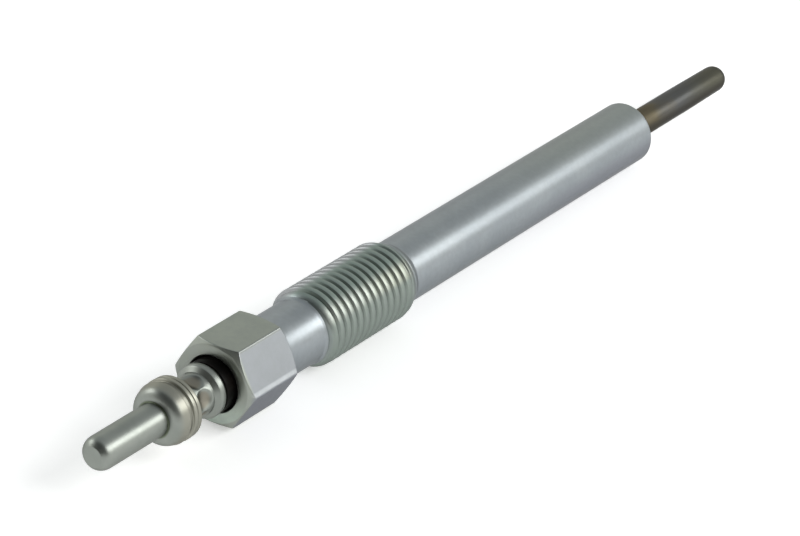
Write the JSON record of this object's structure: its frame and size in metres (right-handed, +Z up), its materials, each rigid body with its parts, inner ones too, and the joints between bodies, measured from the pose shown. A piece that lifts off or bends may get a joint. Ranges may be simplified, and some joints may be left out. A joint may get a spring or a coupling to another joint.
{
  "type": "diesel glow plug",
  "caption": "Sheathed diesel glow plug with a crimped plug-on pin terminal, hexagon, metric body thread, long shank, tapered sealing nose and domed heater tube.",
  "frame": {"origin": "on the plug's axis, halfway along the crests of the body thread", "axes": "+X along the plug's axis towards the heater tip, +Z up with a flat of the hexagon facing down"},
  "size_m": [0.1349, 0.0116, 0.01],
  "materials": {
    "plated_steel": "turned steel with a dull grey zinc plating",
    "bright_terminal": "turned steel with a bright smooth plating",
    "black_plastic": "moulded black plastic, slightly glossy",
    "heat_tinted_steel": "drawn steel tube, brown-grey from heat",
    "rod_steel": "plain drawn steel",
    "coil_wire": "drawn resistance wire",
    "magnesia": "packed white powder",
    "seal_rubber": "soft black rubber"
  },
  "bodies": {
    "root": {"housing": "plated_steel", "terminal_cap": "bright_terminal", "insulating_bush": "black_plastic", "heater_tube": "heat_tinted_steel", "centre_rod": "rod_steel", "regulating_coil": "coil_wire", "heating_coil": "coil_wire", "magnesia_fill": "magnesia", "tube_seal": "seal_rubber", "body_seal": "seal_rubber"}
  },
  "joints": []
}
